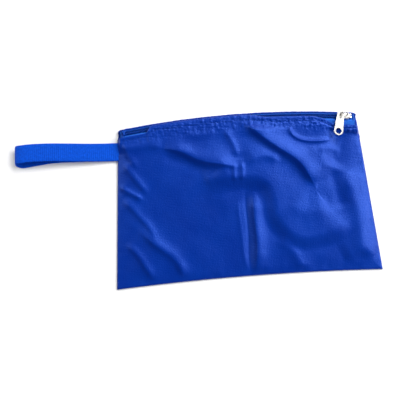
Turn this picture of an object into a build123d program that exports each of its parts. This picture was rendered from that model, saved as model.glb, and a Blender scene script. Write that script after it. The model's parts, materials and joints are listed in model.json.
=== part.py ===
from build123d import *
import math
import os

# A zipped cash deposit bag with a wrist loop, lying on its back on a table.
# Millimetres. +X runs along the zipper to the slider's closed end, +Y points to the zipper
# edge, +Z is up. The origin is on the table, under the middle of the bag.

# ---- driving dimensions ----
FABRIC = 0.5            # one ply of coated nylon
BOTTOM_HALF = 138.0     # half the bag's width at its bottom corners
TOP_HALF = 126.8        # half its width at the zipper corners
BOTTOM_Y = -85.0        # bottom corners
TOP_Y = 83.0            # zipper corners
BOTTOM_BOW = 3.7        # rise of the bottom edge in its middle
LOFT_Z = 7.2            # top of the filled-out front panel
SEAM_BAND = 8.0         # seam allowance turned inside along the sides and the bottom
GAP = 0.05              # air between plies that lie on each other

ARC_R = 980.0           # the closed chain lies on an arc about a vertical axis
CHAIN_Y = 84.8          # the chain where it crosses the bag's centre line
CHAIN_Z = 5.5           # and its height
CHAIN_TILT = 60.0       # elevation of the chain's outward normal
COIL_EDGE = 3.1         # half the width of the closed chain
COIL_TOP = 1.1          # top of the coils above the chain's middle
COIL_WALL = 0.5
CORD_R = 0.42           # the filler cord inside each coil
CHAIN_STITCH = (2.2, 0.25, 0.15)  # across the coil, half its width, and its height
SLIT = 0.4              # half the gap between the two coils, where the slider's post passes
TAPE_TOP = -1.0         # outer face of the tapes
TAPE = 0.45             # tape thickness
HEM_EDGE = 5.0          # from the chain's middle to the edge of each fabric hem
HEM_FOOT = 22.0         # behind the chain, where the front panel starts to rise to its hem
HEM_TURN = 14.0         # behind the chain, where the hem's turned-in ply ends
HEM_CREST = 9.0         # behind the chain, the start of the hem's crest
HEM_SHOULDER = 6.4      # and its end
TAPE_END_X = 123.7      # the tapes' ends, left and right
STOP_X = 119.8          # middle of the zipper stops
STOP_LENGTH = 2.0
COIL_END_X = STOP_X - 1.4
STITCH_END_X = 118.0    # the ends of the hem stitching

SLIDER_X = 112.4        # the slider's middle with the bag closed
SLIDER_LENGTH = 11.5
SLIDER_NOSE_HALF = 4.5  # half its width at the mouth
SLIDER_TAIL_HALF = 4.0
PLATE_LOW = 1.35        # underside of the slider's top plate
PLATE_TOP = 2.2
FLANGE_IN = 3.45        # inner faces of its two flanges
FLANGE_TOP = 1.15
FLANGE_LOW = -0.65
CAP_HALF = 2.8          # half the flat top's width
BASE_PLATE = 0.9        # thickness of its lower plate
SLIDER_CORNER_R = 1.6
POST = (2.6, 0.5)       # the post that parts the coils: length and width
POST_X = 3.9
ARCH_LEG_X = -3.4       # the arch's rear leg, from the slider's middle
ARCH_NOSE_X = 3.7
ARCH_MID = 5.95         # middle of the arch's top bar
ARCH_BAR = 1.1
ARCH_HALF = 0.7         # half the arch's width
ARCH_BEND = 1.7         # bend radius at its two corners

TAB_LENGTH = 27.6
TAB_TOP_WIDTH = 6.9
TAB_END_DIAMETER = 9.5
TAB_HOLE_R = 3.15
TAB_THICKNESS = 1.2
TAB_EYE = (3.7, 7.3)    # the window that the arch passes through: width and length
TAB_EYE_POINT = (0.9, 2.6)  # half its width at its lower end, and the length of that taper
TAB_EYE_DOWN = 1.9      # from the tab's top edge to the eye
TAB_CORNER_R = 1.3
TAB_TOP = 3.2           # from the arch's leg to the tab's top edge
TAB_PIVOT_N = 4.25      # the tab's middle above the chain's middle, at the leg
TAB_RISE = 3.5          # degrees that the resting tab rises towards its free end
TAB_SKEW = 7.0          # degrees that it has swung from straight across towards the chain

STRAP_WIDTH = 19.0
WEBBING = 1.2
STRAP_Y = 59.0          # middle of the wrist loop where it leaves the side seam
STRAP_TURN = -2.1       # degrees that the loop turns towards the zipper
STRAP_HINGE_OUT = 4.5   # from the side seam to where the loop bends
STRAP_TIP_X = -236.0
STRAP_TAIL = 14.0       # sewn-in length inside the seam
LOOP_HEIGHT = 9.6       # outer height of the open loop at its tip

THREAD_R = 0.22
STITCH_LENGTH = 2.2
STITCH_PITCH = 3.0
SEAM_INSET = 1.6        # from the bag's edge to its seam threads
TACK_ROWS = 13          # threads of the bartack
TACK_PITCH = 1.25

FAR = 190.0             # well outside the bag, for the shapes that are cut to its outline

# ---- derived places ----
ARC_CENTRE_Y = CHAIN_Y - ARC_R
ARC_AXIS = Axis((0, ARC_CENTRE_Y, 0), (0, 0, 1))
TILT_COS = math.cos(math.radians(CHAIN_TILT))
TILT_SIN = math.sin(math.radians(CHAIN_TILT))
SEAM_LOW = 2 * FABRIC                   # top of the back panel's two plies at the seams
SEAM_FRONT = SEAM_LOW + GAP             # underside of the front panel's two plies
SEAM_TOP = SEAM_FRONT + 2 * FABRIC
# the plane of the chain at the bag's centre line: x along the chain, y to the back, z outward
ZIP_PLANE = Plane(origin=(0, CHAIN_Y, CHAIN_Z), x_dir=(1, 0, 0), z_dir=(0, TILT_COS, TILT_SIN))

os.makedirs("parts", exist_ok=True)


def side_x(y):
    """Half the bag's width at a height y of its outline."""
    return BOTTOM_HALF + (TOP_HALF - BOTTOM_HALF) * (y - BOTTOM_Y) / (TOP_Y - BOTTOM_Y)


def arc_angle(x):
    """Degrees from the centre line to the chain's point at x, positive to the left."""
    return -math.degrees(math.asin(x / ARC_R))


def along_zip(shape, x):
    """Moves a shape made at the centre line along the chain's arc to x."""
    return shape.rotate(ARC_AXIS, arc_angle(x))


def zip_point(across, out):
    """A point of the YZ plane: across the chain towards the front, and outward from it."""
    return (CHAIN_Y - across * TILT_SIN + out * TILT_COS, CHAIN_Z + across * TILT_COS + out * TILT_SIN)


def section(points):
    """A closed face in the YZ plane."""
    return Plane.YZ * make_face(Polyline(*points, close=True))


def strip(points, radius, width):
    """A band of even width along a rounded line in the YZ plane."""
    return Plane.YZ * trace(FilletPolyline(*points, radius=radius), width)


def sweep_arc(face, left_x, right_x):
    """Turns a section about the arc's axis, from left_x to right_x."""
    turn = arc_angle(left_x) - arc_angle(right_x)
    return revolve(face.rotate(ARC_AXIS, arc_angle(right_x)), ARC_AXIS, turn)


def outline(z, side_top=0.0, side_bottom=0.0, bottom=0.0, top_y=100.0):
    """The bag's plan at height z, drawn in from its edges, and running past the zipper."""
    low_y = BOTTOM_Y + bottom
    low_x = side_x(low_y) - side_bottom
    high_x = side_x(top_y) - side_top
    edges = [
        ThreePointArc((-low_x, low_y), (0, low_y + BOTTOM_BOW), (low_x, low_y)),
        Line((low_x, low_y), (high_x, top_y)),
        Line((high_x, top_y), (-high_x, top_y)),
        Line((-high_x, top_y), (-low_x, low_y)),
    ]
    return Pos(0, 0, z) * make_face(edges)


def tapered_body(inset):
    """The bag's outer volume above its seams: side and bottom walls that lean inwards."""
    top_z = 9.5
    reach = (top_z - SEAM_TOP) / (LOFT_Z - SEAM_TOP)
    low = outline(SEAM_TOP, inset, inset, inset)
    high = outline(top_z, 4.5 * reach + inset, 21.0 * reach + inset, 20.0 * reach + inset)
    return loft([low, high], ruled=True)


def seam_band(low_z, high_z):
    """Two plies along the left, right and bottom edges."""
    frame = extrude(outline(low_z), high_z - low_z)
    frame -= extrude(outline(low_z, SEAM_BAND, SEAM_BAND, SEAM_BAND, 120.0), high_z - low_z)
    return frame & inside_zip(-4.0, low_z - 1, high_z + 1)


def inside_zip(outward, low_z, high_z):
    """Everything nearer the bag's middle than an arc that lies outward of the chain."""
    far = CHAIN_Y - FAR - 10.0
    near = CHAIN_Y + outward
    return sweep_arc(section([(far, low_z), (near, low_z), (near, high_z), (far, high_z)]), -FAR, FAR)


def strap_pocket():
    """The slot in the left seam that the webbing tails fill."""
    length = STRAP_TAIL + STRAP_HINGE_OUT + 3.0
    low_z = FABRIC
    height = 2 * WEBBING + 2 * GAP
    box = Box(length, STRAP_WIDTH + 0.4, height, align=(Align.MIN, Align.CENTER, Align.MIN))
    return strap_place() * Pos(-3.0, 0, low_z) * box


def strap_place():
    """The wrist loop's frame: origin on the table at its hinge line, x into the bag."""
    return Pos(-side_x(STRAP_Y) - STRAP_HINGE_OUT, STRAP_Y, 0) * Rot(0, 0, STRAP_TURN)


# ---- the two panels ----
def hem_outer():
    """The front panel's outer line in the YZ plane, from its middle to the hem's edge."""
    return [
        (CHAIN_Y - HEM_FOOT, LOFT_Z),
        (CHAIN_Y - HEM_CREST, LOFT_Z + 0.85),
        (CHAIN_Y - HEM_SHOULDER, LOFT_Z + 0.95),
        zip_point(HEM_EDGE + 0.6, TAPE_TOP + 0.85),
        zip_point(HEM_EDGE, TAPE_TOP + 0.85),
    ]


def make_front_panel():
    far = CHAIN_Y - FAR
    outer = [(far, SEAM_TOP), (far, LOFT_Z)] + hem_outer()
    outer += [zip_point(HEM_EDGE, TAPE_TOP + GAP), (CHAIN_Y - 4.2, SEAM_TOP)]
    inner = [(far, 0.0), (far, LOFT_Z - FABRIC), (CHAIN_Y - HEM_FOOT, LOFT_Z - FABRIC)]
    inner += [(CHAIN_Y - HEM_TURN, LOFT_Z), (CHAIN_Y - HEM_TURN, LOFT_Z - 0.4)]
    inner += [(CHAIN_Y - HEM_CREST, LOFT_Z - 0.05), (CHAIN_Y - HEM_SHOULDER, LOFT_Z)]
    inner += [zip_point(HEM_EDGE - 0.1, TAPE_TOP + GAP), zip_point(HEM_EDGE - 3.0, TAPE_TOP + GAP)]
    inner += [(CHAIN_Y + 8.0, 0.0)]
    shell = sweep_arc(section(outer), -FAR, FAR) & tapered_body(0.0)
    shell -= sweep_arc(section(inner), -FAR, FAR) & (tapered_body(FABRIC) + hollow_below())
    shell += seam_band(SEAM_FRONT, SEAM_TOP + 0.02)
    return shell - strap_pocket() - tape_room(0)


def hollow_below():
    """The open space between the seam allowances, below the leaning walls."""
    return extrude(outline(0.0, SEAM_BAND, SEAM_BAND, SEAM_BAND), SEAM_TOP + 0.02)


def make_back_panel():
    sheet = extrude(outline(0.0), FABRIC) & inside_zip(-11.5, -1.0, 3.0)
    lip_points = [
        (CHAIN_Y - 12.0, FABRIC / 2),
        (CHAIN_Y + 3.2, FABRIC / 2),
        (CHAIN_Y + 5.7, FABRIC / 2 + 1.35),
        zip_point(-HEM_EDGE, TAPE_TOP + GAP + FABRIC / 2),
    ]
    lip = sweep_arc(strip(lip_points, 0.55, FABRIC), -FAR, FAR)
    lip &= extrude(outline(-1.0), 12.0)
    return sheet + lip + (seam_band(FABRIC - 0.02, SEAM_LOW) - strap_pocket()) - tape_room(1)


def tape_room(which):
    """The space that the front (0) or back (1) tape takes, with a little air."""
    return sweep_arc(tape_sections(TAPE + 2 * GAP)[which], -TAPE_END_X - GAP, TAPE_END_X + GAP)


# ---- the zipper ----
def tape_sections(thickness=TAPE):
    """Front and back tapes: flat beside the chain, then along the inside of each panel."""
    middle = TAPE_TOP - TAPE / 2
    front = [
        zip_point(SLIT, middle),
        zip_point(HEM_EDGE + 0.35, middle),
        (CHAIN_Y - 7.2, LOFT_Z - 0.40),
        (CHAIN_Y - 13.5, LOFT_Z - 0.75),
    ]
    back = [
        zip_point(-SLIT, middle),
        zip_point(-HEM_EDGE + 0.2, middle),
        (CHAIN_Y + 2.6, FABRIC + GAP + TAPE / 2),
        (CHAIN_Y - 8.0, FABRIC + GAP + TAPE / 2),
    ]
    return strip(front, 0.5, thickness), strip(back, 0.4, thickness)


def coil_middle(side):
    """Middle of one coil's section; side is +1 for the front and -1 for the back."""
    return zip_point(side * (SLIT + COIL_EDGE) / 2, (COIL_TOP + TAPE_TOP) / 2)


def coil_face(side, wall_inset):
    """A rounded section of one coil, drawn in by wall_inset."""
    width = COIL_EDGE - SLIT - 2 * wall_inset
    height = COIL_TOP - TAPE_TOP - GAP - 2 * wall_inset
    y, z = coil_middle(side)
    turn = Rot(0, 0, CHAIN_TILT - 90.0)
    return Plane.YZ * Pos(y, z) * turn * RectangleRounded(width, height, 0.45 * height)


def make_coil(side):
    face = coil_face(side, 0.0) - coil_face(side, COIL_WALL)
    return sweep_arc(face, -COIL_END_X, COIL_END_X)


def make_coil_cord(side):
    y, z = coil_middle(side)
    face = Plane.YZ * Pos(y, z) * Circle(CORD_R)
    return sweep_arc(face, -COIL_END_X, COIL_END_X)


def make_coil_thread(side):
    """The chain stitch that holds a coil on its tape, along the coil's top."""
    middle, half, height = CHAIN_STITCH
    low = COIL_TOP + 0.02
    left = side * middle - half
    right = side * middle + half
    corners = [(left, low), (right, low), (right, low + height), (left, low + height)]
    face = section([zip_point(*corner) for corner in corners])
    return sweep_arc(face, 0.2 - COIL_END_X, COIL_END_X - 0.2)


def make_stop(x, from_across, to_across):
    """A crimped metal stop on the tapes' outer faces."""
    width = to_across - from_across
    height = COIL_TOP + 0.3 - TAPE_TOP - GAP
    block = Box(STOP_LENGTH, width, height, align=(Align.CENTER, Align.CENTER, Align.MIN))
    block = fillet(block.edges().filter_by(Axis.X), 0.35)
    middle = -(from_across + to_across) / 2
    return along_zip(ZIP_PLANE.location * Pos(0, middle, TAPE_TOP + GAP) * block, x)


def make_slider():
    """A non-locking slider: two plates, two flanges, the post and the lengthwise arch."""
    half = SLIDER_LENGTH / 2
    cap = Polyline(
        (-SLIDER_NOSE_HALF, FLANGE_LOW), (-SLIDER_NOSE_HALF, FLANGE_TOP), (-CAP_HALF, PLATE_TOP),
        (CAP_HALF, PLATE_TOP), (SLIDER_NOSE_HALF, FLANGE_TOP), (SLIDER_NOSE_HALF, FLANGE_LOW),
        (FLANGE_IN, FLANGE_LOW), (FLANGE_IN, PLATE_LOW), (-FLANGE_IN, PLATE_LOW),
        (-FLANGE_IN, FLANGE_LOW), close=True,
    )
    base_top = TAPE_TOP - TAPE - 0.25
    upper = Pos(-half, 0, 0) * extrude(Plane.YZ * make_face(cap), SLIDER_LENGTH)
    lower = extrude(Rectangle(SLIDER_LENGTH, 2 * SLIDER_NOSE_HALF), BASE_PLATE)
    lower = Pos(0, 0, base_top - BASE_PLATE) * lower
    plan = make_face(Polyline(
        (-half, -SLIDER_TAIL_HALF), (half, -SLIDER_NOSE_HALF),
        (half, SLIDER_NOSE_HALF), (-half, SLIDER_TAIL_HALF), close=True,
    ))
    plan = fillet(plan.vertices(), SLIDER_CORNER_R)
    trimmed = (upper + lower) & Pos(0, 0, -5) * extrude(plan, 10)
    post = extrude(SlotOverall(*POST), PLATE_LOW - base_top + 0.2)
    post = Pos(POST_X, 0, base_top - 0.1) * post
    route = FilletPolyline(
        (ARCH_LEG_X, PLATE_TOP - 0.3), (ARCH_LEG_X, ARCH_MID),
        (ARCH_NOSE_X, ARCH_MID), (ARCH_NOSE_X, PLATE_TOP - 0.3), radius=ARCH_BEND,
    )
    arch = extrude(Plane.XZ * trace(route, ARCH_BAR), ARCH_HALF, both=True)
    return trimmed + post + arch


def make_tab():
    """A flat pull with an eye at its top and a round, pierced end; the arch's leg is at 0, 0."""
    end_y = TAB_TOP - TAB_LENGTH + TAB_END_DIAMETER / 2
    shoulder = TAB_TOP_WIDTH / 2 - TAB_CORNER_R
    corner = CenterArc((0, 0), TAB_CORNER_R, 0, 360)
    top_edges = [Pos(side * shoulder, TAB_TOP - TAB_CORNER_R) * corner for side in (-1, 1)]
    round_end = CenterArc((0, end_y), TAB_END_DIAMETER / 2, 0, 360)
    plate = make_hull(top_edges + [round_end])
    eye_top = TAB_TOP - TAB_EYE_DOWN
    eye_low = eye_top - TAB_EYE[1]
    wide = TAB_EYE[0] / 2
    narrow, taper = TAB_EYE_POINT
    eye = make_face(Polyline(
        (-wide, eye_top), (wide, eye_top), (wide, eye_low + taper), (narrow, eye_low),
        (-narrow, eye_low), (-wide, eye_low + taper), close=True,
    ))
    eye = fillet(eye.vertices(), 0.6)
    plate -= eye
    plate -= Pos(0, end_y) * Circle(TAB_HOLE_R)
    solid = extrude(plate, TAB_THICKNESS / 2, both=True)
    return chamfer(solid.faces().sort_by(Axis.Z)[-1].outer_wire().edges(), 0.25)


def place_slider(slider):
    """From the slider's own frame to its closed place on the bag."""
    return along_zip(ZIP_PLANE.location * slider, SLIDER_X)


def tab_pivot():
    """The tab's pivot at the arch's rear leg, with the slider still at the centre line."""
    return ZIP_PLANE.location.position + Vector(
        ARCH_LEG_X, TAB_PIVOT_N * TILT_COS, TAB_PIVOT_N * TILT_SIN)


def place_tab(tab):
    """Lays the tab over the front hem, level with the slider's front edge."""
    rise = math.radians(TAB_RISE)
    plane = Plane(origin=tab_pivot(), x_dir=(1, 0, 0), z_dir=(0, math.sin(rise), math.cos(rise)))
    return along_zip(plane.location * Rot(0, 0, -TAB_SKEW) * tab, SLIDER_X)


# ---- the wrist loop ----
def make_wrist_strap():
    """The free part of the webbing: two plies at the hinge line that open to a round fold."""
    tip = STRAP_TIP_X + side_x(STRAP_Y) + STRAP_HINGE_OUT
    low = FABRIC + GAP
    outer = FilletPolyline(
        (-0.15, low), (-11.0, 0.0), (tip, 0.0), (tip, LOOP_HEIGHT), (tip + 52.0, LOOP_HEIGHT - 2.0),
        (-0.15, low + 2 * WEBBING), radius=(20.0, 4.5, 4.5, 120.0),
    )
    inner = FilletPolyline(
        (-9.0, low + 0.9 * WEBBING), (-14.0, WEBBING), (tip + WEBBING, WEBBING),
        (tip + WEBBING, LOOP_HEIGHT - WEBBING), (tip + 52.2, LOOP_HEIGHT - WEBBING - 2.0),
        (-9.0, low + 1.1 * WEBBING), radius=(5.0, 3.3, 3.3, 120.0),
    )
    end = Line((-0.15, low + 2 * WEBBING), (-0.15, low))
    fork = Line((-9.0, low + 1.1 * WEBBING), (-9.0, low + 0.9 * WEBBING))
    face = make_face(outer.edges() + [end]) - make_face(inner.edges() + [fork])
    return strap_place() * extrude(Plane.XZ * face, STRAP_WIDTH / 2, both=True)


def make_strap_tails():
    """The webbing's two ends, one on the other, sewn into the left seam."""
    length = STRAP_TAIL + STRAP_HINGE_OUT - 0.15
    tails = Part()
    for ply in range(2):
        low = FABRIC + GAP + ply * (WEBBING + 0.01)
        box = Box(length, STRAP_WIDTH, WEBBING - 0.02, align=(Align.MIN, Align.CENTER, Align.MIN))
        tails += Pos(0.15, 0, low) * box
    return strap_place() * tails


# ---- threads ----
def arc_stitches(point):
    """Short threads laid end to end along the zipper's arc, over one point of the section."""
    half = STITCH_LENGTH / 2
    face = Plane.YZ * Pos(*point) * Rectangle(2 * THREAD_R, 2 * THREAD_R)
    count = int(2 * STITCH_END_X / STITCH_PITCH)
    stitches = []
    for index in range(count + 1):
        x = STITCH_END_X * (2 * index / count - 1)
        stitches.append(sweep_arc(face, x - half, x + half))
    return Compound(children=stitches)


def seam_threads(start, end, bow=0.0):
    """Upright threads through all four plies, from start to end in plan."""
    length = math.dist(start, end)
    count = int(length / STITCH_PITCH)
    low = FABRIC * 0.6
    height = SEAM_TOP - FABRIC * 0.6 - low
    threads = []
    for index in range(count + 1):
        t = index / count
        x = start[0] + (end[0] - start[0]) * t
        y = start[1] + (end[1] - start[1]) * t + bow * 4 * t * (1 - t)
        threads.append(Pos(x, y, low) * extrude(Circle(THREAD_R), height))
    return Compound(children=threads)


def side_seam(side):
    """Threads of the left (-1) or right (+1) seam; the left one stops at the webbing."""
    low_end = BOTTOM_Y + 2.5
    high_end = TOP_Y - 6.0
    runs = [(low_end, high_end)]
    if side < 0:
        past_strap = STRAP_WIDTH / 2 + 3.0
        runs = [(low_end, STRAP_Y - past_strap), (STRAP_Y + past_strap, high_end)]
    threads = []
    for low_y, high_y in runs:
        ends = [(side * (side_x(y) - SEAM_INSET), y) for y in (low_y, high_y)]
        threads += seam_threads(*ends).children
    return Compound(children=list(threads))


def make_bartack():
    """A zigzag of thread through the webbing tails, inside the bag."""
    threads = []
    for index in range(TACK_ROWS):
        y = (index - (TACK_ROWS - 1) / 2) * TACK_PITCH
        x = STRAP_HINGE_OUT + 5.0 + (index % 2) * 2.0
        thread = extrude(Circle(0.3), 2 * WEBBING - 0.2)
        threads.append(strap_place() * Pos(x, y, FABRIC + GAP + 0.1) * thread)
    return Compound(children=threads)


def make_end_tacks():
    """Thread bars across both tapes, beyond the stops at each end."""
    bars = []
    for x in (-TAPE_END_X + 0.7, -TAPE_END_X + 1.7, TAPE_END_X - 1.7, TAPE_END_X - 0.7):
        bar = Rot(90, 0, 0) * Cylinder(0.25, 2 * HEM_EDGE - 0.6)
        bars.append(along_zip(ZIP_PLANE.location * Pos(0, 0, TAPE_TOP + GAP + 0.25) * bar, x))
    return Compound(children=bars)


front_tape_face, back_tape_face = tape_sections()
front_stitch = (CHAIN_Y - 8.0, LOFT_Z + 0.9 + THREAD_R)
back_stitch = (CHAIN_Y - 2.0, FABRIC + TAPE + 2 * GAP + THREAD_R)
bottom_end = BOTTOM_HALF - 5.0
bottom_y = BOTTOM_Y + SEAM_INSET + 0.1

nodes = {
    "front_panel": make_front_panel(),
    "back_panel": make_back_panel(),
    "front_zip_tape": sweep_arc(front_tape_face, -TAPE_END_X, TAPE_END_X),
    "back_zip_tape": sweep_arc(back_tape_face, -TAPE_END_X, TAPE_END_X),
    "front_coil": make_coil(1),
    "back_coil": make_coil(-1),
    "front_coil_cord": make_coil_cord(1),
    "back_coil_cord": make_coil_cord(-1),
    "front_coil_thread": make_coil_thread(1),
    "back_coil_thread": make_coil_thread(-1),
    "front_top_stop": make_stop(STOP_X, SLIT, COIL_EDGE + 0.1),
    "back_top_stop": make_stop(STOP_X, -COIL_EDGE - 0.1, -SLIT),
    "bottom_stop": make_stop(-STOP_X, -COIL_EDGE - 0.1, COIL_EDGE + 0.1),
    "slider_body": place_slider(make_slider()),
    "pull_tab": place_tab(make_tab()),
    "wrist_strap": make_wrist_strap(),
    "strap_tails": make_strap_tails(),
    "strap_bartack": make_bartack(),
    "front_zip_stitching": arc_stitches(front_stitch),
    "back_zip_stitching": arc_stitches(back_stitch),
    "left_seam_stitching": side_seam(-1),
    "right_seam_stitching": side_seam(1),
    "bottom_seam_stitching": seam_threads((-bottom_end, bottom_y), (bottom_end, bottom_y), BOTTOM_BOW),
    "zip_end_tacks": make_end_tacks(),
}

for name, shape in nodes.items():
    shape.label = name
    export_step(shape, f"parts/{name}.step")
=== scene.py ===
import bpy
import json
import math
import numpy as np
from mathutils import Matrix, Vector


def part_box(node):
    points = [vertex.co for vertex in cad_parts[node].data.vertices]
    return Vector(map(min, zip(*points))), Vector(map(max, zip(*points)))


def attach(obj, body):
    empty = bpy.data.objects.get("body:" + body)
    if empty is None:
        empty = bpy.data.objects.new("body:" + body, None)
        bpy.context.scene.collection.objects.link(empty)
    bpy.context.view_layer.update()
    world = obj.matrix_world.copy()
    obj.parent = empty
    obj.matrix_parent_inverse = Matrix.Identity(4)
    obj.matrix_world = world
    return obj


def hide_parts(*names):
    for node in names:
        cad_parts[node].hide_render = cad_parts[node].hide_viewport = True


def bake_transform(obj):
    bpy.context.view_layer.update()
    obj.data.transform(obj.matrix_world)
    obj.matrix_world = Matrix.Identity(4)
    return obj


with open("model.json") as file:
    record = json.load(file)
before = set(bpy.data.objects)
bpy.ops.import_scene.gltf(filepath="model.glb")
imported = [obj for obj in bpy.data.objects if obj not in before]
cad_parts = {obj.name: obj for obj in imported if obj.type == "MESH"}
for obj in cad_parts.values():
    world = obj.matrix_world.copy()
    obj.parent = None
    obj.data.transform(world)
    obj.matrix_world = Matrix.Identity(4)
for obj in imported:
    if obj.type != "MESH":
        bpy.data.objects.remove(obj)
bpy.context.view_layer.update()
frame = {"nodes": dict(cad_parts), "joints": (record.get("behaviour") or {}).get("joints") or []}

MM = 0.001

# ---- the bag's plan, read from the frame (millimetres from here on) ----
travel = next(j for j in frame["joints"] if j["name"] == "slider_travel")
swing = next(j for j in frame["joints"] if j["name"] == "loop_swing")


def node_box(node):
    """The low and high corners of a CAD node's box, in millimetres."""
    low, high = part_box(node)
    return np.array(low) / MM, np.array(high) / MM


back_low, back_high = node_box("back_panel")
strap_low, _ = node_box("wrist_strap")
_, tails_high = node_box("strap_tails")
_, tape_high = node_box("front_zip_tape")

BOTTOM_Y = back_low[1]
BOTTOM_HALF = back_high[0]
SIDE_HEIGHT = 168.0
SIDE_LEAN = 11.2
TOP_Y = BOTTOM_Y + SIDE_HEIGHT
TOP_HALF = BOTTOM_HALF - SIDE_LEAN
BOTTOM_BOW = 3.7
ARC_CENTRE_Y = travel["pos_m"][1] / MM
CHAIN_Z = travel["pos_m"][2] / MM
ARC_R = 980.0
TILT = math.radians(60.0)
TAPE_TOP = -1.0
HEM_EDGE = 5.0
FABRIC = 0.45
CORNER = 5.5
CORNER_DRAW = 0.7
SEAM_PINCH = 3.6

# the slack fabric's height: the seam's plies, the roll beside it, about what those two give
# together, and the loft at the bottom and its gain towards the zipper
SEAM_PLIES = 0.95
SEAM_ROLL = 1.3
SEAM_TOTAL = 2.2
LOFT_LOW = 3.6
LOFT_GAIN = 3.5


def side_x(y):
    """Half the bag's width at y: it narrows towards the zipper."""
    return BOTTOM_HALF + (TOP_HALF - BOTTOM_HALF) * (y - BOTTOM_Y) / (TOP_Y - BOTTOM_Y)


def smooth(low, high, value):
    """0 before low, 1 after high, and an even curve between them."""
    t = np.clip((value - low) / (high - low), 0.0, 1.0)
    return t * t * (3 - 2 * t)


def zip_out(across, out):
    """From the chain's middle: distance outward along the plan's radius, and height."""
    radial = -across * math.sin(TILT) + out * math.cos(TILT)
    height = CHAIN_Z + across * math.cos(TILT) + out * math.sin(TILT)
    return radial, height


def arc_xy(turn, radial):
    """A plan point at an angle along the zipper's arc, radial outward of the chain."""
    reach = ARC_R + radial
    return reach * np.sin(turn), ARC_CENTRE_Y + reach * np.cos(turn)


def end_turn(radial):
    """The arc angle at which a line parallel to the zipper meets the side seam."""
    turn = 0.13
    for _ in range(4):
        _, y = arc_xy(turn, radial)
        turn = math.asin(side_x(y) / (ARC_R + radial))
    return turn


def end_pinch(x, y):
    """1 along the zipper, and down to 0 in the last few millimetres before a side seam."""
    return smooth(0.0, SEAM_PINCH, side_x(y) - np.abs(x))


def corner_round(turn):
    """How far the hem's two edges draw together at the closed end, rounding its corner."""
    along = np.abs(turn) * ARC_R
    tip = end_turn(0.0) * ARC_R
    into = np.clip((along - (tip - CORNER)) / CORNER, 0.0, 1.0)
    return CORNER * CORNER_DRAW * (1 - np.sqrt(1 - into**2))


# ---- even, repeatable noise made of sine waves ----
def waves(x, y, count, shortest, longest, seed):
    """Smooth noise of about unit height from count random sine waves."""
    draw = np.random.default_rng(seed)
    total = np.zeros_like(x, dtype=float)
    for _ in range(count):
        length = draw.uniform(shortest, longest)
        angle = draw.uniform(0, math.pi)
        phase = draw.uniform(0, 2 * math.pi)
        way = x * math.cos(angle) + y * math.sin(angle)
        total += np.sin(way * 2 * math.pi / length + phase)
    return total / math.sqrt(count)


# ---- folds of the slack fabric: a route, its widths to the left and right, and its height ----
FOLDS = [
    # the long fold from the middle of the hem down to the right
    ([(4, 86), (11, 75), (26, 61), (47, 46), (62, 31), (71, 16), (76, 6)], 18, 4.0, 5.6),
    ([(70, 48), (84, 36), (92, 22)], 9, 10, 1.4),
    # the looped fold under the hem, left of the pull
    ([(58, 72), (55, 66), (62, 58), (74, 53.5), (88, 53), (101, 57)], 2.4, 2.0, 1.8),
    ([(57, 72), (76, 72), (98, 70)], 2.6, 4, 1.7),
    ([(80, 42), (94, 44), (106, 40)], 6, 6, 1.2),
    # the upper left
    ([(-84, 60), (-62, 53), (-44, 44), (-20, 37), (-2, 33)], 14, 4.2, 4.6),
    ([(-122, 60), (-100, 62), (-78, 60)], 9, 7, 1.6),
    ([(-17, 74), (-10, 64), (-5, 52), (-4, 42)], 5, 4, 1.6),
    ([(-7, 38), (-8, 26), (-8, 16)], 2.6, 2.6, 1.3),
    ([(0, 38), (0, 26), (-1, 17)], 2.6, 2.6, 1.3),
    ([(2, 36), (24, 42), (44, 36)], 10, 6, 2.0),
    ([(-60, 74), (-40, 70), (-22, 72)], 4, 5, 1.0),
    ([(-40, 18), (-24, 24), (-10, 31)], 8, 9, 1.1),
    # the crease down the middle
    ([(-5, 0), (-6, -18), (-5, -53), (-1, -80)], 2.6, 2.6, 0.55),
    ([(12, 6), (10, -20), (11, -50), (6, -82)], 11, 4, 4.4),
    # the left edge and the lower left corner
    ([(-121, 70), (-117, 54), (-108, 38)], 6, 5, 1.6),
    ([(-123, 46), (-112, 28), (-98, 10)], 6, 5, 2.0),
    ([(-130, 22), (-118, 13), (-103, 5)], 4, 4, 2.2),
    ([(-127, 8), (-111, -9), (-90, -38)], 7, 5, 2.0),
    ([(-114, -24), (-91, -43), (-73, -62), (-63, -82)], 9, 6, 3.0),
    ([(-127, -37), (-111, -57), (-97, -80)], 7, 5, 2.2),
    # the lower right
    ([(30, -45), (47, -60), (59, -82)], 9, 9, 2.0),
    ([(106, 22), (114, -4), (118, -40), (118, -74)], 15, 13, 3.8),
    ([(96, -70), (116, -62), (134, -72)], 12, 9, 2.6),
    ([(44, -6), (64, -20), (90, -16)], 18, 14, 2.6),
]
VALLEYS = [
    ([(3, 10), (2, -36), (1, -78)], 3.0, 3.0, 1.5),
    ([(-84, 50), (-60, 42), (-30, 31)], 7, 9, 1.2),
    ([(92, 26), (100, 0), (104, -22)], 9, 9, 1.6),
    ([(100, 76), (103, 58), (100, 38), (94, 24)], 15, 9, 3.0),
]

# steps of the fabric: higher on the left of the route, and level again farther away
STEPS = [
    ([(-44, 8), (-24, 12), (-6, 15), (9, 15), (21, 9), (26, -6), (29, -24), (38, -41), (53, -50),
      (76, -51), (101, -42), (121, -25)], 9.0, 34.0, 5.0),
]


def smooth_route(points, steps=14):
    """A route through all its points, rounded between them."""
    given = np.array(points, dtype=float)
    ends = np.vstack([2 * given[0] - given[1], given, 2 * given[-1] - given[-2]])
    t = np.linspace(0, 1, steps, endpoint=False)[:, None]
    runs = []
    for a, b, c, d in zip(ends, ends[1:], ends[2:], ends[3:]):
        runs.append(0.5 * (2 * b + (c - a) * t + (2 * a - 5 * b + 4 * c - d) * t**2
                           + (3 * b - a - 3 * c + d) * t**3))
    return np.vstack(runs + [given[-1:]])


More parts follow.
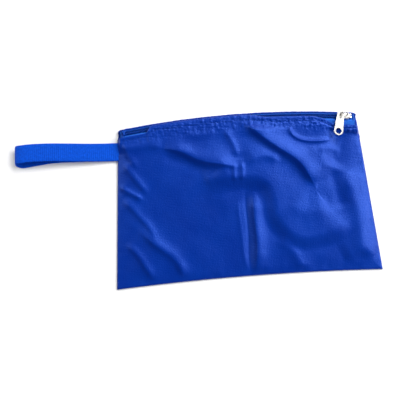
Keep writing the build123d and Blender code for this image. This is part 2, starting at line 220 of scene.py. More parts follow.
def beside_route(x, y, points):
    """Distance to a route's left, distance past its nearest point, and the share of it passed."""
    route = smooth_route(points)
    flat = np.column_stack([x.ravel(), y.ravel()])
    gap = flat[:, None, :] - route[None, :, :]
    nearest = np.argmin((gap**2).sum(axis=2), axis=1)
    step = np.gradient(route, axis=0)
    spacing = np.linalg.norm(step, axis=1)
    way = (step / spacing[:, None])[nearest]
    offset = gap[np.arange(len(flat)), nearest]
    ahead = (way * offset).sum(axis=1)
    side = way[:, 0] * offset[:, 1] - way[:, 1] * offset[:, 0]
    past = np.maximum(np.abs(ahead) - spacing[nearest], 0.0)
    share = np.clip((nearest + ahead / spacing[nearest]) / (len(route) - 1), 0, 1)
    return side.reshape(x.shape), past.reshape(x.shape), share.reshape(x.shape)


def fold_height(x, y, points, left, right, height):
    """A ridge along a route that fades at both ends, with its own width on each side."""
    side, past, share = beside_route(x, y, points)
    width = right + (left - right) * smooth(-2.0, 2.0, side / (1 + 0.5 * past))
    fade = smooth(0.0, 0.25, share) * smooth(0.0, 0.25, 1 - share) * 0.88 + 0.12
    return height * fade / (1 + (side**2 + past**2) / width**2) ** 1.6


def step_height(x, y, points, width, reach, height):
    """Fabric that stands higher on the left of a route and levels out over reach."""
    side, _, share = beside_route(x, y, points)
    fade = smooth(0.0, 0.15, share) * smooth(0.0, 0.12, 1 - share)
    rise = smooth(-width, width, side) * np.exp(-(np.maximum(side, 0) / reach) ** 2)
    return height * fade * rise


def to_seams(x, y):
    """Distances to the nearer side seam and to the bottom seam."""
    bottom = BOTTOM_Y + BOTTOM_BOW * (1 - (x / BOTTOM_HALF) ** 2)
    return np.maximum(side_x(y) - np.abs(x), 0.0), np.maximum(y - bottom, 0.0)


def slack_height(x, y):
    """Height of the fabric over the table with no folds in it."""
    near = np.minimum(*to_seams(x, y))
    loft = LOFT_LOW + LOFT_GAIN * smooth(-40.0, 70.0, y)
    reach = 7.0 + 5.0 * smooth(60.0, 0.0, y) + 9.0 * smooth(60.0, 120.0, x) * smooth(60.0, 20.0, y)
    edge = 1 - np.exp(-near / reach)
    roll = SEAM_ROLL * np.sqrt(np.clip(near / 1.6, 0, 1))
    return SEAM_PLIES + roll + (loft - SEAM_TOTAL) * edge


def folds_height(x, y):
    """What the folds, steps and small waves add; nothing at the seams."""
    to_side, to_bottom = to_seams(x, y)
    near = np.minimum(to_side, to_bottom)
    slack = smooth(0.0, 9.0, near)
    folds = np.zeros_like(near)
    drift_x = x + 0.8 * waves(x, y, 8, 30, 80, 51)
    drift_y = y + 0.8 * waves(x, y, 8, 30, 80, 52)
    for fold in FOLDS:
        folds += fold_height(drift_x, drift_y, *fold)
    for valley in VALLEYS:
        folds -= fold_height(drift_x, drift_y, *valley)
    for step in STEPS:
        folds += step_height(drift_x, drift_y, *step)
    folds += 0.30 * waves(x, y, 16, 24, 75, 3) + 0.035 * waves(x, y, 22, 7, 18, 5)
    folds += 0.35 * waves(x, y * 0.25, 10, 7, 15, 9) * np.exp(-to_bottom / 5.0)
    folds += 0.30 * waves(x * 0.25, y, 10, 7, 15, 11) * np.exp(-to_side / 4.0)
    return folds * (0.35 + 0.65 * slack) * smooth(0.0, 3.0, near)


def front_height(x, y):
    """Height of the front fabric over the table."""
    return np.maximum(slack_height(x, y) + folds_height(x, y), 1.0)


def pucker(x, seed):
    """Gathers along the zipper seam: short uneven waves along it."""
    ripple = waves(x, 0 * x, 14, 3.2, 8.5, seed)
    gather = 0.55 + 0.45 * waves(x, 0 * x, 4, 30, 90, seed + 1)
    strong = 1.0 + 1.6 * np.exp(-((x + 1) / 14) ** 2) + 0.9 * np.exp(-((x - 72) / 20) ** 2)
    return 0.5 * ripple * np.clip(gather, 0.15, 1.2) * strong


def panel_plan(share, up, radial):
    """Plan points of a panel, from the bottom seam (up 0) to a line beside the zipper (up 1)."""
    top_x, top_y = arc_xy(share * end_turn(radial), radial)
    low_x = share * BOTTOM_HALF
    low_y = BOTTOM_Y + BOTTOM_BOW * (1 - share**2)
    x = low_x[None, :] + (top_x - low_x)[None, :] * up[:, None]
    y = low_y[None, :] + (top_y - low_y)[None, :] * up[:, None]
    return x, y, top_x, top_y, low_y


# ---- mesh helpers ----
def mesh_object(name, points, faces, uvs=None):
    """A mesh from millimetre points, smooth shaded."""
    mesh = bpy.data.meshes.new(name)
    mesh.from_pydata([tuple(p) for p in np.asarray(points) * MM], [], faces)
    mesh.update()
    for polygon in mesh.polygons:
        polygon.use_smooth = True
    if uvs is not None:
        layer = mesh.uv_layers.new(name="cloth")
        loops = np.zeros(len(mesh.loops), dtype=int)
        mesh.loops.foreach_get("vertex_index", loops)
        layer.data.foreach_set("uv", (np.asarray(uvs)[loops] * MM).ravel())
    item = bpy.data.objects.new(name, mesh)
    bpy.context.scene.collection.objects.link(item)
    return item


def grid_faces(rows, columns, closed=False):
    """Quads between the rows of a grid; closed joins each row's ends."""
    faces = []
    across = columns if closed else columns - 1
    for row in range(rows - 1):
        here = row * columns
        above = here + columns
        for column in range(across):
            beside = (column + 1) % columns
            faces.append((here + column, here + beside, above + beside, above + column))
    return faces


def grid_object(name, grid, uvs=None):
    """A sheet from a rows x columns x 3 array of points."""
    rows, columns = grid.shape[:2]
    flat_uv = None if uvs is None else uvs.reshape(-1, 2)
    return mesh_object(name, grid.reshape(-1, 3), grid_faces(rows, columns), flat_uv)


def tube(points, radius, sides=6):
    """Points and faces of a round thread along a line, closed at both ends."""
    line = np.asarray(points, dtype=float)
    way = np.gradient(line, axis=0)
    way /= np.linalg.norm(way, axis=1)[:, None]
    up = np.tile([0.0, 0.0, 1.0], (len(line), 1))
    up[np.abs(way[:, 2]) > 0.9] = (0.0, 1.0, 0.0)
    side = np.cross(way, up)
    side /= np.linalg.norm(side, axis=1)[:, None]
    top = np.cross(side, way)
    angles = np.linspace(0, 2 * math.pi, sides, endpoint=False)
    ring = np.cos(angles)[None, :, None] * side[:, None, :]
    ring = ring + np.sin(angles)[None, :, None] * top[:, None, :]
    width = np.asarray(radius) * np.ones(len(line))
    rings = line[:, None, :] + ring * width[:, None, None]
    faces = grid_faces(len(line), sides, closed=True)
    faces.append(tuple(range(sides))[::-1])
    last = (len(line) - 1) * sides
    faces.append(tuple(range(last, last + sides)))
    return rings.reshape(-1, 3), faces


def join_parts(name, parts):
    """One object from several (points, faces) pairs."""
    points = []
    faces = []
    start = 0
    for part_points, part_faces in parts:
        points.append(part_points)
        faces += [tuple(i + start for i in face) for face in part_faces]
        start += len(part_points)
    return mesh_object(name, np.vstack(points), faces)


def thicken(item, thickness, offset=-1.0):
    """Gives a sheet its thickness; offset -1 puts it all behind the sheet, 0 on both sides."""
    change = item.modifiers.new("ply", "SOLIDIFY")
    change.thickness = thickness * MM
    change.offset = offset
    change.use_even_offset = True


# ---- the front panel ----
COLUMNS = 340
BODY_ROWS = 210
HEM_STEPS = 3
STITCH_RADIAL = -8.3
SEAM_Z = 1.9

# where the hem rolls over the chain: from LIP_LEFT, fully up to LIP_RIGHT, part-way to LIP_END
LIP_LEFT = -99.0
LIP_RIGHT = 6.0
LIP_END = 101.0
LIP_RIGHT_LOSS = 0.55


def hem_lip(x):
    """How far the hem rolls over the chain, 0 to 1.

    It is open at the slider's two stops. Between them a moving slider cuts through the roll.
    """
    share = 1 - LIP_RIGHT_LOSS * smooth(LIP_RIGHT, LIP_RIGHT + 30.0, x)
    return share * smooth(LIP_LEFT, LIP_LEFT + 9.0, x) * (1 - smooth(LIP_END - 24.0, LIP_END, x))


def hem_rows():
    """The hem's section: radial, height, pucker, then radial and height where it rolls over."""
    edge_out = zip_out(HEM_EDGE + 0.3, TAPE_TOP + 0.75)
    edge = zip_out(HEM_EDGE - 0.05, TAPE_TOP + 0.5)
    edge_in = zip_out(HEM_EDGE + 0.1, TAPE_TOP + 0.25)
    return [
        # the fabric below the seam
        (-22.0, 7.1, 0.0, -22.0, 7.1), (-19.0, 7.35, 0.05, -18.6, 7.4),
        (-16.5, 7.55, 0.05, -15.4, 7.7), (-14.0, 7.7, 0.15, -12.0, 8.0),
        # the puckers beside the stitch row, and the row's own hollow
        (-12.0, 7.85, 0.5, -9.0, 8.3), (-10.5, 7.9, 1.0, -6.5, 8.5), (-9.3, 7.8, 0.9, -4.6, 8.45),
        (-8.6, 7.72, 0.6, -3.5, 8.3), (-8.0, 7.7, 0.5, -2.6, 8.25), (-7.4, 7.8, 0.8, -1.7, 8.3),
        # the crest and the turned edge
        (-6.6, 7.98, 1.0, -0.7, 8.35), (-5.8, 8.08, 0.9, 0.6, 8.2),
        (edge_out[0] - 0.2, edge_out[1] + 0.1, 0.7, 1.9, 7.8), (*edge_out, 0.6, 2.6, 7.3),
        (*edge, 0.6, 2.8, 6.9), (edge_in[0] - 0.1, edge_in[1], 0.5, 2.4, 6.7),
        # the ply turned back under
        (-5.6, 7.2, 0.2, 0.8, 7.2), (-7.0, 6.95, 0.1, -1.5, 7.5), (-9.5, 6.7, 0.0, -6.0, 7.4),
        (-12.0, 6.4, 0.0, -10.0, 7.0),
    ]


def hem_points(share, row, first_x, lip, gather, extra_loft):
    """One row of the hem: flat or rolled over the chain, then gathered and crumpled."""
    radial, height, ripple, rolled_radial, rolled_height = row
    recede = 5.0 * smooth(90.0, 106.0, first_x) * smooth(-20.0, -9.0, radial)
    reach = radial + lip * (rolled_radial - radial) - recede
    x, y = arc_xy(share * end_turn(radial), reach)
    carried = extra_loft * smooth(-7.5, -22.0, radial)
    carried += folds_height(x, y) * smooth(-8.0, -17.0, radial)
    crumple = waves(x, 1.6 * y, 24, 3.0, 9.0, 61) * np.clip(gather * 0.7 + 0.9, 0.3, 2.0)
    crumple *= 0.35 + 0.65 * smooth(-120.0, -88.0, x)
    carried += 0.25 * crumple * smooth(-20.0, -11.0, radial) * smooth(-4.5, -7.0, radial)
    arched = 2.4 * lip * (1 - lip) * smooth(-14.0, -6.0, radial)
    z = height + lip * (rolled_height - height) + arched + carried + 0.42 * ripple * gather
    z = SEAM_Z + (z - SEAM_Z) * end_pinch(x, y)
    return np.stack([x, y, z], axis=1)


def make_front():
    """The front sheet and its hem in one piece; also returns its grid of points."""
    share = np.linspace(-1, 1, COLUMNS)
    share = np.sign(share) * (1 - (1 - np.abs(share)) ** 1.15)
    up = np.linspace(0, 1, BODY_ROWS)
    up = (1 - (1 - up) ** 1.05) ** 1.05
    hem = smooth_route(hem_rows(), HEM_STEPS)
    first_radial, first_height = hem[0][:2]
    x, y, top_x, top_y, _ = panel_plan(share, up, first_radial)
    gather = pucker(top_x, 21)
    lip = hem_lip(top_x)
    extra_loft = slack_height(top_x, top_y) - first_height
    rows = [np.stack([x, y, front_height(x, y)], axis=2)]
    for row in hem[1:]:
        rows.append(hem_points(share, row, top_x, lip, gather, extra_loft)[None, :, :])
    grid = np.concatenate(rows, axis=0)
    item = grid_object("front_fabric", grid, grid[:, :, :2].copy())
    thicken(item, FABRIC)
    return item, grid


def back_lip_rows():
    """The back lip's section: radial, height and pucker, up round the back of the zipper."""
    crest = zip_out(-HEM_EDGE - 0.7, TAPE_TOP + 0.6)
    return [
        (-16.0, 0.3, 0), (-8.0, 0.3, 0), (0.0, 0.3, 0), (3.0, 0.35, 0), (4.9, 0.85, 0.3),
        (5.3, 1.6, 0.8), (crest[0] + 0.1, crest[1] + 0.1, 1),
        (*zip_out(-HEM_EDGE - 0.1, TAPE_TOP + 0.75), 1),
        (*zip_out(-HEM_EDGE + 0.05, TAPE_TOP + 0.5), 1),
        (*zip_out(-HEM_EDGE - 0.1, TAPE_TOP + 0.2), 1),
        (*zip_out(-HEM_EDGE - 0.6, TAPE_TOP + 0.2), 0.5),
    ]


def make_back():
    """The back sheet with its lip; it lies on the table with a few soft waves."""
    share = np.linspace(-1, 1, 220)
    up = np.linspace(0, 1, 120)
    lip = smooth_route(back_lip_rows(), HEM_STEPS)
    x, y, top_x, _, low_y = panel_plan(share, up, lip[0][0])
    near = np.minimum(side_x(y) - np.abs(x), y - low_y[None, :])
    soft = smooth(2.0, 14.0, near) * (1 - smooth(0.85, 1.0, up))[:, None]
    z = 0.3 + soft * np.maximum(0.35 * waves(x, y, 14, 20, 70, 31), -0.05)
    z = z + 0.35 * np.exp(-np.maximum(near, 0) / 1.0)
    rows = [np.stack([x, y, z], axis=2)]
    gather = pucker(top_x, 43)
    for radial, height, ripple in lip[1:]:
        row_turn = share * end_turn(radial)
        drawn = corner_round(row_turn) * smooth(-4.0, 4.0, radial)
        row_x, row_y = arc_xy(row_turn, radial + 0.25 * ripple * gather - drawn)
        row_z = np.maximum(height + 0.12 * ripple * gather, 0.26)
        rows.append(np.stack([row_x, row_y, row_z], axis=1)[None, :, :])
    grid = np.concatenate(rows, axis=0)
    item = grid_object("back_fabric", grid, grid[:, :, :2].copy())
    thicken(item, FABRIC * 0.9, 0.0)
    return item


front, front_grid = make_front()
back = make_back()


# ---- the zipper ----
TAPE = 0.42
TAPE_MIDDLE = TAPE_TOP - 0.22
TAPE_WIDTH = 14


def make_tape(name, side):
    """A woven tape from beside the chain to under its hem; side 1 is the front, -1 the back."""
    line = [zip_out(side * 0.45, TAPE_MIDDLE), zip_out(side * 3.4, TAPE_MIDDLE)]
    if side > 0:
        line += [zip_out(HEM_EDGE + 0.2, TAPE_MIDDLE), (-7.2, 6.75), (-13.0, 6.2)]
    else:
        line += [zip_out(-HEM_EDGE + 0.2, TAPE_MIDDLE), (3.0, 1.0), (-8.0, 0.85)]
    rows = smooth_route(line, 5)
    half = math.asin(tape_high[0] / (ARC_R - 4.0))
    turn = np.linspace(-half, half, 500)
    grid = np.zeros((len(rows), len(turn), 3))
    for index, (radial, height) in enumerate(rows):
        x, y = arc_xy(turn, radial)
        grid[index] = np.stack([x, y, np.full_like(x, height)], axis=1)
    along = np.broadcast_to(turn * ARC_R, (len(rows), len(turn)))
    across = np.broadcast_to(np.linspace(0, TAPE_WIDTH, len(rows))[:, None], along.shape)
    item = grid_object(name, grid, np.stack([along, across], axis=2))
    thicken(item, TAPE, 0.0)
    return item


COIL_PITCH = 1.27
COIL_REACH = 118.2
COIL_WIRE_R = 0.31
TURN_SAMPLES = 14


def make_coil(name, side):
    """A spiral of monofilament: each turn has a head at the chain's middle and two legs."""
    turns = int(2 * COIL_REACH / COIL_PITCH)
    angle = np.arange(turns * TURN_SAMPLES) * 2 * math.pi / TURN_SAMPLES
    shift = 0.25 if side > 0 else -0.25
    along = -COIL_REACH + (angle / (2 * math.pi) + shift) * COIL_PITCH
    across = side * (1.72 - 1.02 * np.cos(angle) * (1 + 0.12 * np.cos(angle)))
    out = 0.07 + 0.70 * np.sin(angle)
    radial, height = zip_out(across, out)
    x, y = arc_xy(along / ARC_R, radial)
    points, faces = tube(np.stack([x, y, height], axis=1), COIL_WIRE_R, 6)
    return mesh_object(name, points, faces)


STITCH_PITCH = 3.0
STITCH_REACH = 121.0
HEM_STITCH_ARCH = np.array([-0.25, 0.12, 0.2, 0.22, 0.2, 0.12, -0.25])
BACK_STITCH_ARCH = np.array([-0.15, 0.1, 0.16, 0.16, 0.1, -0.15])


def surface_line(grid, row, x_values):
    """Y and Z along one row of a sheet at the given x."""
    line = grid[row]
    order = np.argsort(line[:, 0])
    return [np.interp(x_values, line[order, 0], line[order, axis]) for axis in (1, 2)]


def make_hem_stitches():
    """The visible stitch row: each thread rises from its hole and dips into the next."""
    radials = smooth_route(hem_rows(), HEM_STEPS)[1:40, 0]
    row = BODY_ROWS + int(np.argmin(np.abs(radials - STITCH_RADIAL)))
    parts = []
    for x in np.arange(-STITCH_REACH, STITCH_REACH, STITCH_PITCH):
        line_x = x + np.linspace(0, STITCH_PITCH * 0.82, len(HEM_STITCH_ARCH))
        line_y, line_z = surface_line(front_grid, row, line_x)
        parts.append(tube(np.stack([line_x, line_y, line_z + HEM_STITCH_ARCH], axis=1), 0.2, 6))
    return join_parts("hem_stitches", parts)


def make_back_stitches():
    """The stitch row through the back hem, inside the bag."""
    parts = []
    for turn in np.arange(-STITCH_REACH, STITCH_REACH, STITCH_PITCH) / ARC_R:
        line = turn + np.linspace(0, 2.4 / ARC_R, len(BACK_STITCH_ARCH))
        x, y = arc_xy(line, -2.0)
        parts.append(tube(np.stack([x, y, 1.12 + BACK_STITCH_ARCH], axis=1), 0.18, 6))
    return join_parts("back_hem_stitches", parts)


def make_coil_stitches(name, side):
    """The chain stitch along the top of one coil."""
    along = np.arange(-COIL_REACH + 1, COIL_REACH - 1, 0.16)
    wave = 0.16 * np.sin(along * 2 * math.pi / COIL_PITCH)
    dip = 0.06 * np.cos(along * 4 * math.pi / COIL_PITCH)
    radial, height = zip_out(side * (2.25 + wave), 1.1 + dip)
    x, y = arc_xy(along / ARC_R, radial)
    points, faces = tube(np.stack([x, y, height], axis=1), 0.13, 5)
    return mesh_object(name, points, faces)


front_tape = make_tape("front_tape_weave", 1)
back_tape = make_tape("back_tape_weave", -1)
front_coil = make_coil("front_coil_spiral", 1)
back_coil = make_coil("back_coil_spiral", -1)
front_coil_stitches = make_coil_stitches("front_coil_stitches", 1)
back_coil_stitches = make_coil_stitches("back_coil_stitches", -1)
hem_stitches = make_hem_stitches()
back_stitches = make_back_stitches()


# ---- the wrist loop ----
STRAP_WIDTH = 19.0
WEBBING = 1.2
STRAP_LOW = 0.55
STRAP_STEP = 0.30
RIB_PITCH = 2.1
FLOOR_GAP = 0.03
hinge = np.array(swing["pos_m"]) / MM
strap_way = np.array([-swing["axis"][1], swing["axis"][0], 0.0])
strap_side = np.array([swing["axis"][0], swing["axis"][1], 0.0])


def strap_line():
    """The webbing's middle line, evenly spaced: distance along, and (out, up, sideways)."""
    tip = -(strap_low[0] - hinge[0])
    tail = tails_high[0] - hinge[0] - 1.0
    lower = STRAP_LOW + WEBBING / 2
    upper = STRAP_LOW + 1.5 * WEBBING + 0.03
    route = smooth_route([
        # the lower ply, from the seam out to the fold
        (-tail, lower, 0.0), (-4.0, lower, 0.0), (3.0, 1.0, 0.0), (12.0, WEBBING / 2 + 0.05, 0.1),
        (35.0, 0.65, 0.6), (62.0, 0.65, 0.4), (80.0, 0.65, -1.6), (tip - 8.0, 0.7, -3.6),
        # the open fold at the tip
        (tip - 1.7, 1.9, -2.2), (tip - 0.7, 4.4, -0.8), (tip - 2.2, 7.1, 0.0),
        # the upper ply, back to the seam
        (tip - 8.0, 8.4, 0.5), (84.0, 8.2, 1.3), (66.0, 7.3, 1.5), (46.0, 5.9, 0.9),
        (26.0, 4.4, 0.2), (12.0, 3.2, 0.0), (3.0, 2.6, 0.0), (-4.0, upper, 0.0), (-tail, upper, 0.0),
    ], 40)
    length = np.concatenate([[0], np.cumsum(np.linalg.norm(np.diff(route, axis=0), axis=1))])
    even = np.linspace(0, length[-1], int(length[-1] / STRAP_STEP))
    return even, np.stack([np.interp(even, length, route[:, k]) for k in range(3)], axis=1)


def strap_section(even):
    """The ribbed section at each point of the line: its width's share and its half height."""
    across = np.linspace(-0.5, 0.5, 23)
    rib = 0.5 + 0.5 * np.cos(even * 2 * math.pi / RIB_PITCH)
    shares = []
    heights = []
    for side, share in ((1, across), (-1, across[::-1])):
        edge = np.sqrt(np.clip(1 - (np.abs(share) * 2) ** 14, 0, 1))
        half = (0.36 + 0.24 * rib[:, None] ** 0.7) * (0.35 + 0.65 * edge[None, :])
        shares.append(share)
        heights.append(side * half)
    return np.concatenate(shares), np.concatenate(heights, axis=1)


def make_strap():
    """Ribbed webbing: out of the seam, round an open fold and back, the lower ply set lower."""
    even, line = strap_line()
    way = np.gradient(line[:, :2], axis=0)
    way /= np.linalg.norm(way, axis=1)[:, None]
    normal = np.stack([-way[:, 1], way[:, 0]], axis=1)
    share, height = strap_section(even)
    notch = 0.10 * np.cos(even * 2 * math.pi / RIB_PITCH)
    width = share[None, :] * (STRAP_WIDTH + notch[:, None])
    out = line[:, 0][:, None] + normal[:, 0][:, None] * height
    up = np.maximum(line[:, 1][:, None] + normal[:, 1][:, None] * height, FLOOR_GAP)
    sideways = width + line[:, 2][:, None]
    points = (hinge * [1, 1, 0])[None, None, :] + out[:, :, None] * strap_way
    points = points + sideways[:, :, None] * strap_side
    points[:, :, 2] = up
    rows, columns = points.shape[:2]
    faces = grid_faces(rows, columns, closed=True)
    faces.append(tuple(range(columns))[::-1])
    faces.append(tuple(range((rows - 1) * columns, rows * columns)))
    along = np.broadcast_to(even[:, None], (rows, columns))
    uv = np.stack([along, np.broadcast_to(width, (rows, columns))], axis=2)
    return mesh_object("wrist_webbing", points.reshape(-1, 3), faces, uv.reshape(-1, 2))


strap = make_strap()


# ---- materials ----
BLUE_SHINE = (0.10, 0.30, 1.0, 1)
WEAVE_SHINE = (0.1, 0.4, 1.0, 1)


def new_material(name, colour, roughness, metallic=0.0):
    """A Principled material; returns it with its node tree and shader."""
    material = bpy.data.materials.new(name)
    material.use_nodes = True
    shader = material.node_tree.nodes["Principled BSDF"]
    shader.inputs["Base Color"].default_value = (*colour, 1)
    shader.inputs["Roughness"].default_value = roughness
    shader.inputs["Metallic"].default_value = metallic
    return material, material.node_tree, shader


def add_node(tree, kind, **values):
    """A node with its input sockets or settings set by name."""
    node = tree.nodes.new(kind)
    for key, value in values.items():
        if key in node.inputs:
            node.inputs[key].default_value = value
        else:
            setattr(node, key, value)
    return node


def add_ramp(tree, source, low, high, low_place=0.3, high_place=0.7):
    """Turns a value into a colour between low and high."""
    ramp = tree.nodes.new("ShaderNodeValToRGB")
    ramp.color_ramp.elements[0].position = low_place
    ramp.color_ramp.elements[0].color = (*low, 1)
    ramp.color_ramp.elements[1].position = high_place
    ramp.color_ramp.elements[1].color = (*high, 1)
    tree.links.new(source, ramp.inputs["Fac"])
    return ramp.outputs["Color"]


def add_bump(tree, shader, heights):
    """Chains (height socket, strength, distance in millimetres) into the shader's normal."""
    normal = None
    for source, strength, distance in heights:
        bump = tree.nodes.new("ShaderNodeBump")
        bump.inputs["Strength"].default_value = strength
        bump.inputs["Distance"].default_value = distance * MM
        tree.links.new(source, bump.inputs["Height"])
        if normal is not None:
            tree.links.new(normal, bump.inputs["Normal"])
        normal = bump.outputs["Normal"]
    tree.links.new(normal, shader.inputs["Normal"])


def weave(tree, coordinates, across, along):
    """A plain weave: two crossed sets of ribs, each count per metre."""
    total = None
    for direction, scale in (("X", across), ("Y", along)):
        wave = add_node(tree, "ShaderNodeTexWave", wave_type="BANDS", bands_direction=direction)
        wave.inputs["Scale"].default_value = scale
        wave.inputs["Distortion"].default_value = 0.4
        wave.inputs["Detail"].default_value = 1.0
        tree.links.new(coordinates, wave.inputs["Vector"])
        if total is None:
            total = wave.outputs["Fac"]
        else:
            multiply = add_node(tree, "ShaderNodeMath", operation="MULTIPLY")
            tree.links.new(total, multiply.inputs[0])
            tree.links.new(wave.outputs["Fac"], multiply.inputs[1])
            total = multiply.outputs["Value"]
    return total


def noise(tree, coordinates, scale, detail=3.0, roughness=0.5):
    """A noise texture's value; scale counts per metre."""
    node = add_node(tree, "ShaderNodeTexNoise")
    node.inputs["Scale"].default_value = scale
    node.inputs["Detail"].default_value = detail
    node.inputs["Roughness"].default_value = roughness
    tree.links.new(coordinates, node.inputs["Vector"])
    return node.outputs["Fac"]


def nylon_material():
    """Coated nylon: a fine weave and grain, crinkles, and a blue shine."""
    material, tree, shader = new_material("coated_nylon", (0.004, 0.045, 0.36), 0.38)
    places = add_node(tree, "ShaderNodeTexCoord")
    flat = places.outputs["Object"]
    cloudy = noise(tree, flat, 22.0, 4.0)
    colour = add_ramp(tree, cloudy, (0.0005, 0.021, 0.245), (0.0010, 0.029, 0.290))
    tree.links.new(colour, shader.inputs["Base Color"])
    worn = add_ramp(tree, noise(tree, flat, 60.0, 5.0, 0.6), (0.36,) * 3, (0.46,) * 3)
    tree.links.new(worn, shader.inputs["Roughness"])
    threads = weave(tree, flat, 700.0, 700.0)
    crinkle = noise(tree, flat, 130.0, 5.0, 0.55)
    ribs = weave(tree, flat, 190.0, 190.0)
    grain = noise(tree, flat, 700.0, 2.0)
    add_bump(tree, shader, [
        (crinkle, 0.3, 0.4), (grain, 0.9, 0.26), (ribs, 0.8, 0.08), (threads, 0.25, 0.08),
    ])
    shader.inputs["Specular IOR Level"].default_value = 1.0
    shader.inputs["Specular Tint"].default_value = (0.10, 0.26, 1.0, 1)
    return material


def woven_material(name, dark, light, scale, roughness=0.6):
    """Threads that read as lighter and darker ribs, from the piece's own cloth coordinates."""
    material, tree, shader = new_material(name, light, roughness)
    cloth = add_node(tree, "ShaderNodeUVMap", uv_map="cloth")
    ribs = weave(tree, cloth.outputs["UV"], scale, scale * 0.5)
    fuzz = noise(tree, cloth.outputs["UV"], 500.0, 3.0)
    mix = add_node(tree, "ShaderNodeMath", operation="ADD")
    half = add_node(tree, "ShaderNodeMath", operation="MULTIPLY")
    half.inputs[1].default_value = 0.5
    tree.links.new(ribs, mix.inputs[0])
    tree.links.new(fuzz, mix.inputs[1])
    tree.links.new(mix.outputs["Value"], half.inputs[0])
    colour = add_ramp(tree, half.outputs["Value"], dark, light, 0.2, 0.75)
    tree.links.new(colour, shader.inputs["Base Color"])
    add_bump(tree, shader, [(ribs, 0.5, 0.15), (fuzz, 0.3, 0.08)])
    shader.inputs["Specular IOR Level"].default_value = 0.3
    shader.inputs["Specular Tint"].default_value = WEAVE_SHINE
    shader.inputs["Sheen Weight"].default_value = 0.05
    shader.inputs["Sheen Roughness"].default_value = 0.4
    shader.inputs["Sheen Tint"].default_value = WEAVE_SHINE
    return material


def thread_material(name, colour, light):
    """Twisted polyester thread; its fine fibres also serve for the painted stop."""
    material, tree, shader = new_material(name, colour, 0.55)
    places = add_node(tree, "ShaderNodeTexCoord")
    fibres = noise(tree, places.outputs["Object"], 1800.0, 2.0)
    tree.links.new(add_ramp(tree, fibres, colour, light), shader.inputs["Base Color"])
    add_bump(tree, shader, [(fibres, 0.4, 0.06)])
    shader.inputs["Specular IOR Level"].default_value = 0.3
    shader.inputs["Specular Tint"].default_value = BLUE_SHINE
    return material


def coil_material():
    """Plain dyed monofilament."""
    material, tree, shader = new_material("coil_nylon", (0.005, 0.06, 0.42), 0.3)
    places = add_node(tree, "ShaderNodeTexCoord")
    tone = noise(tree, places.outputs["Object"], 300.0, 2.0)
    colour = add_ramp(tree, tone, (0.001, 0.030, 0.27), (0.003, 0.055, 0.40))
    tree.links.new(colour, shader.inputs["Base Color"])
    shader.inputs["Specular IOR Level"].default_value = 0.4
    shader.inputs["Specular Tint"].default_value = BLUE_SHINE
    return material


def metal_material(name, colour, roughness):
    """Nickel plate over die-cast zinc: faint orange peel and fine rubbed scratches."""
    material, tree, shader = new_material(name, colour, roughness, 1.0)
    places = add_node(tree, "ShaderNodeTexCoord")
    peel = noise(tree, places.outputs["Object"], 300.0, 2.0)
    rubbed = noise(tree, places.outputs["Object"], 900.0, 6.0, 0.7)
    worn = add_ramp(tree, rubbed, (roughness * 0.85,) * 3, (roughness * 1.2,) * 3)
    tree.links.new(worn, shader.inputs["Roughness"])
    add_bump(tree, shader, [(peel, 0.08, 0.05)])
    return material


nylon = nylon_material()
webbing = woven_material("blue_webbing", (0.0015, 0.040, 0.38), (0.0040, 0.115, 0.84), 480.0)
tape_weave = woven_material("tape_weave", (0.010, 0.085, 0.48), (0.030, 0.160, 0.72), 900.0)
thread = thread_material("blue_thread", (0.002, 0.022, 0.20), (0.005, 0.045, 0.32))
coil_look = coil_material()
bright_metal = metal_material("nickel_plate", (0.80, 0.785, 0.75), 0.36)
stop_metal = metal_material("stop_aluminium", (0.75, 0.76, 0.78), 0.32)
stop_paint = thread_material("blue_enamel", (0.003, 0.040, 0.30), (0.005, 0.050, 0.36))


def dress(item, material, slot, *nodes):
    """Gives a piece its material and hides the CAD nodes it stands for; slot is not used."""
    item.data.materials.clear()
    item.data.materials.append(material)
    if nodes:
        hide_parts(*nodes)


def place(item, body, material, slot, *nodes):
    """Dresses a piece and lets it ride on one body."""
    dress(item, material, slot, *nodes)
    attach(item, body)


place(front, "bag", nylon, "coated_nylon", "front_panel")
place(back, "bag", nylon, "coated_nylon", "back_panel")
place(front_tape, "bag", tape_weave, "zip_tape", "front_zip_tape")
place(back_tape, "bag", tape_weave, "zip_tape", "back_zip_tape")
place(front_coil, "bag", coil_look, "zip_coil", "front_coil")
place(back_coil, "bag", coil_look, "zip_coil", "back_coil")
place(front_coil_stitches, "bag", thread, "thread", "front_coil_thread")
place(back_coil_stitches, "bag", thread, "thread", "back_coil_thread")
place(hem_stitches, "bag", thread, "thread", "front_zip_stitching")
place(back_stitches, "bag", thread, "thread", "back_zip_stitching")
dress(strap, webbing, "webbing", "wrist_strap", "strap_tails")
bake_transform(strap)

for node, look in {
    "slider_body": bright_metal, "pull_tab": bright_metal, "front_top_stop": stop_metal,
    "back_top_stop": stop_metal, "bottom_stop": stop_paint, "front_coil_cord": thread,
    "back_coil_cord": thread, "strap_bartack": thread, "left_seam_stitching": thread,
    "right_seam_stitching": thread, "bottom_seam_stitching": thread, "zip_end_tacks": thread,
}.items():
    item = frame["nodes"][node]
    for index in range(len(item.material_slots)):
        item.material_slots[index].material = look

# the cast edges of the slider and the pull are slightly rounded
for node, width in {"slider_body": 0.28, "pull_tab": 0.22}.items():
    soften = frame["nodes"][node].modifiers.new("soft_edges", "BEVEL")
    soften.width = width * MM
    soften.segments = 3
    soften.limit_method = "ANGLE"
    soften.angle_limit = math.radians(35)


# ---- the stage: floor, lights and camera ----
PALE = 0.95
FLOOR_HALF = 2.6


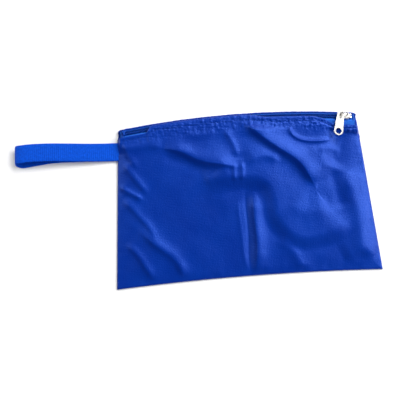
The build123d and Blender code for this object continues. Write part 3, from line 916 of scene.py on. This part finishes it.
def make_stage():
    """A plain pale floor."""
    half = FLOOR_HALF
    floor_mesh = bpy.data.meshes.new("floor")
    corners = [(-half, -half, 0), (half, -half, 0), (half, half, 0), (-half, half, 0)]
    floor_mesh.from_pydata(corners, [], [(0, 1, 2, 3)])
    floor = bpy.data.objects.new("floor", floor_mesh)
    bpy.context.scene.collection.objects.link(floor)
    material, _, shader = new_material("pale_floor", (PALE, PALE, PALE), 0.9)
    shader.inputs["Specular IOR Level"].default_value = 0.1
    floor_mesh.materials.append(material)


def add_light(name, place, size, power, shines=True):
    """A soft rectangular light aimed at the bag; shines says whether reflections show it."""
    data = bpy.data.lights.new(name, "AREA")
    data.shape = "RECTANGLE"
    data.size = size[0]
    data.size_y = size[1]
    data.energy = power
    light = bpy.data.objects.new(name, data)
    light.location = place
    light.rotation_euler = (-Vector(place)).to_track_quat("-Z", "Y").to_euler()
    light.visible_glossy = shines
    bpy.context.scene.collection.objects.link(light)


def make_lights():
    """The key and the side light from behind, and two fills; they model the folds."""
    add_light("key", (0.85, 1.10, 1.00), (1.2, 0.9), 34)
    add_light("side", (1.50, 0.15, 0.95), (0.9, 1.0), 22)
    add_light("fill_left", (-1.4, 0.8, 0.95), (0.7, 1.3), 16)
    add_light("fill_front", (0.2, -1.8, 0.75), (1.8, 0.5), 20, shines=False)


def make_surroundings():
    """A world that lights the bag faintly and that the camera sees as pale."""
    world = bpy.data.worlds.new("studio")
    world.use_nodes = True
    tree = world.node_tree
    faint = tree.nodes["Background"]
    faint.inputs["Color"].default_value = (1, 1, 1, 1)
    faint.inputs["Strength"].default_value = 0.03
    seen = add_node(tree, "ShaderNodeBackground")
    seen.inputs["Color"].default_value = (PALE, PALE, PALE, 1)
    path = add_node(tree, "ShaderNodeLightPath")
    mix = add_node(tree, "ShaderNodeMixShader")
    tree.links.new(path.outputs["Is Camera Ray"], mix.inputs["Fac"])
    tree.links.new(faint.outputs["Background"], mix.inputs[1])
    tree.links.new(seen.outputs["Background"], mix.inputs[2])
    tree.links.new(mix.outputs["Shader"], tree.nodes["World Output"].inputs["Surface"])
    bpy.context.scene.world = world


def make_camera():
    """Nearly overhead, turned so that the zipper edge rises to the right."""
    turn = math.radians(-4.4)
    lift = math.radians(84.0)
    distance = 0.600
    aim = Vector((-0.0455, 0.0011, 0.004))
    level = math.cos(lift)
    back_way = Vector((math.sin(turn) * level, -math.cos(turn) * level, math.sin(lift)))
    data = bpy.data.cameras.new("camera")
    data.lens = 51.7
    data.sensor_width = 36.0
    data.clip_end = 50.0
    camera = bpy.data.objects.new("camera", data)
    camera.location = aim + back_way * distance
    camera.rotation_euler = (-back_way).to_track_quat("-Z", "Y").to_euler()
    bpy.context.scene.collection.objects.link(camera)
    bpy.context.scene.camera = camera


make_stage()
make_lights()
make_surroundings()
make_camera()
bpy.context.scene.view_settings.view_transform = "Standard"
